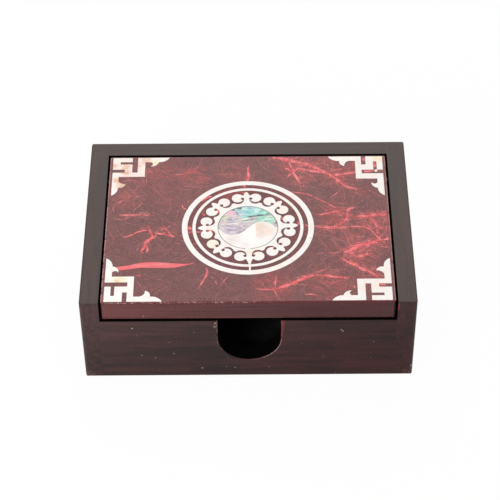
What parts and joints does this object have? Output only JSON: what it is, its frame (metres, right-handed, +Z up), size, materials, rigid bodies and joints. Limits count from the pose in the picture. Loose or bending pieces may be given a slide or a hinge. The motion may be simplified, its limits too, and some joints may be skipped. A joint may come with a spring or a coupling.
{
  "type": "business card box",
  "caption": "Lacquered desk box for business cards with a finger notch in front and a pivoting lid faced with fibre paper and inlaid with mother-of-pearl.",
  "frame": {"origin": "on the table under the middle of the box's outline", "axes": "+X to the right along the width, +Y to the back, +Z up"},
  "size_m": [0.11, 0.0776, 0.0366],
  "materials": {
    "lacquered_board": "dark maroon-brown satin lacquer",
    "black_felt": "short felt",
    "pin_steel": "drawn wire",
    "fibre_paper": "mulberry paper with red fibres under lacquer",
    "pearl_shell": "polished mother-of-pearl",
    "abalone_shell": "polished abalone"
  },
  "bodies": {
    "box": {"front_panel": "lacquered_board", "back_panel": "lacquered_board", "left_panel": "lacquered_board", "right_panel": "lacquered_board", "floor_panel": "lacquered_board", "floor_lining": "black_felt", "base_felt": "black_felt", "left_pivot_pin": "pin_steel", "right_pivot_pin": "pin_steel"},
    "lid": {"lid_board": "lacquered_board", "lid_facing": "fibre_paper", "outer_ring": "pearl_shell", "inner_ring": "pearl_shell", "scroll_medallion": "pearl_shell", "abalone_crown": "abalone_shell", "abalone_tail": "abalone_shell", "pearl_tail": "pearl_shell", "pearl_head": "pearl_shell", "corner_inlay_front_left": "pearl_shell", "corner_inlay_front_right": "pearl_shell", "corner_inlay_back_right": "pearl_shell", "corner_inlay_back_left": "pearl_shell"}
  },
  "joints": [
    {"name": "lid_hinge", "type": "hinge", "parent": "box", "child": "lid", "pos_m": [0, 0.0225, 0.0328], "axis": [-1, 0, 0], "range_deg": [0, 136]}
  ]
}
